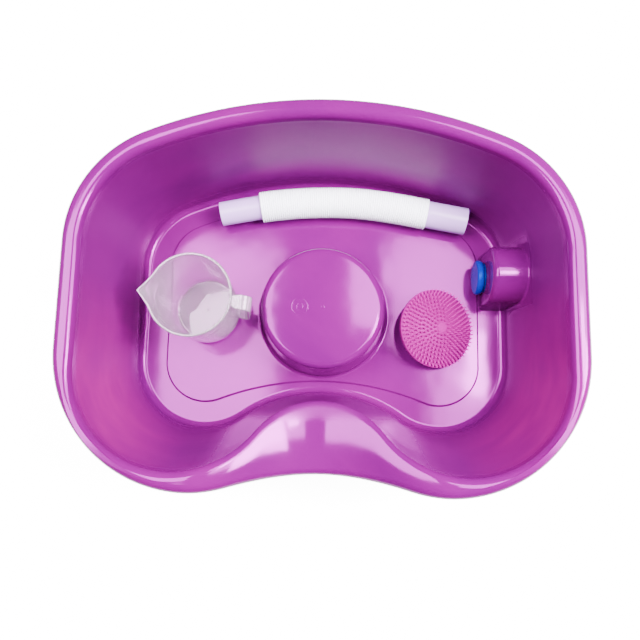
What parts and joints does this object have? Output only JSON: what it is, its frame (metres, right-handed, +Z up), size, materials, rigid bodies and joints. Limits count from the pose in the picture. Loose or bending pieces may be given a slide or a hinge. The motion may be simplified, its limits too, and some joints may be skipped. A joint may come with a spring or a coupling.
{
  "type": "portable shampoo basin",
  "caption": "Kidney-shaped wash basin with a rolled rim, dipped neck rest, round head support and plugged side outlet, with its drain hose, measuring jug and scalp brush.",
  "frame": {"origin": "middle of the basin's footprint, on the surface that it stands on", "axes": "+X to the right along the basin's long side, towards the outlet; +Y to the back; +Z up; the neck rest faces -Y"},
  "size_m": [0.56, 0.4256, 0.18],
  "materials": {
    "basin": "glossy moulded polypropylene, slightly pearly magenta",
    "outlet": "semi-gloss moulded plastic",
    "washer": "matt rubber",
    "stopper": "smooth soft rubber",
    "hose": "satin ribbed polyethylene with translucent plain ends",
    "jug": "clear, faintly frosted moulded plastic",
    "bristles": "soft satin silicone",
    "brush_back": "glossy moulded plastic"
  },
  "bodies": {
    "basin": {"basin_shell": "basin", "outlet_spigot": "outlet", "outlet_washer": "washer", "outlet_nut": "outlet"},
    "stopper": {"drain_stopper": "stopper"},
    "hose": {"drain_hose": "hose"},
    "jug": {"measuring_jug": "jug"},
    "brush": {"brush_pad": "bristles", "brush_handle": "brush_back"}
  },
  "joints": [
    {"name": "stopper_pull", "type": "slide", "parent": "basin", "child": "stopper", "axis": [-1, 0, 0], "range_m": [0, 0.017]},
    {"name": "hose_lift", "type": "slide", "parent": "basin", "child": "hose", "axis": [0, 0, 1], "range_m": [0, 0.2]},
    {"name": "jug_lift", "type": "slide", "parent": "basin", "child": "jug", "axis": [0, 0, 1], "range_m": [0, 0.2]},
    {"name": "brush_lift", "type": "slide", "parent": "basin", "child": "brush", "axis": [0, 0, 1], "range_m": [0, 0.2]}
  ]
}
